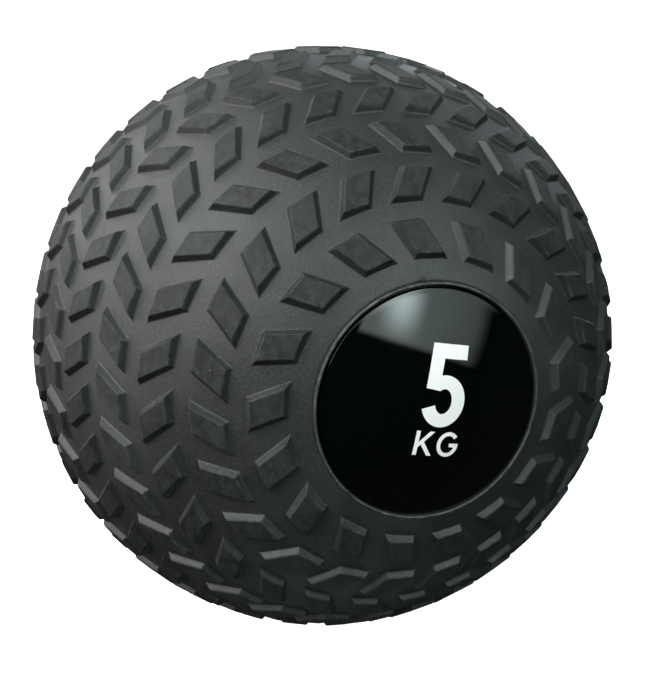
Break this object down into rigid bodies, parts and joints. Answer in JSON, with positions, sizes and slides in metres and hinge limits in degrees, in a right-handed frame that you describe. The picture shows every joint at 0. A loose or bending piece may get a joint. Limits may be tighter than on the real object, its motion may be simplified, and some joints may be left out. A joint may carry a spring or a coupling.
{
  "type": "medicine ball",
  "caption": "Treaded slam ball: moulded rubbery shell with slanted tread blocks, domed weight label, and loose sand inside that deadens the bounce.",
  "frame": {"origin": "centre of the ball", "axes": "-Y out of the front label, -Z down through the flat top of a tread block that the ball rests on"},
  "size_m": [0.23, 0.2251, 0.23],
  "materials": {
    "tread_pvc": "satin",
    "stopper_rubber": "matte",
    "sand": "matte",
    "adhesive": "matte",
    "label_plastic": "gloss",
    "white_print": "satin"
  },
  "bodies": {
    "ball": {"tread_shell": "tread_pvc", "filler_stopper": "stopper_rubber", "front_label_adhesive": "adhesive", "front_label_disc": "label_plastic", "weight_numeral_5": "white_print", "unit_letter_k": "white_print", "unit_letter_g": "white_print", "rear_label_adhesive": "adhesive", "rear_label_disc": "label_plastic"},
    "sand": {"sand_fill": "sand"}
  },
  "joints": [
    {"name": "sand_shift", "type": "hinge", "parent": "ball", "child": "sand", "pos_m": [0, 0, 0], "axis": [0, 1, 0], "continuous": true}
  ]
}
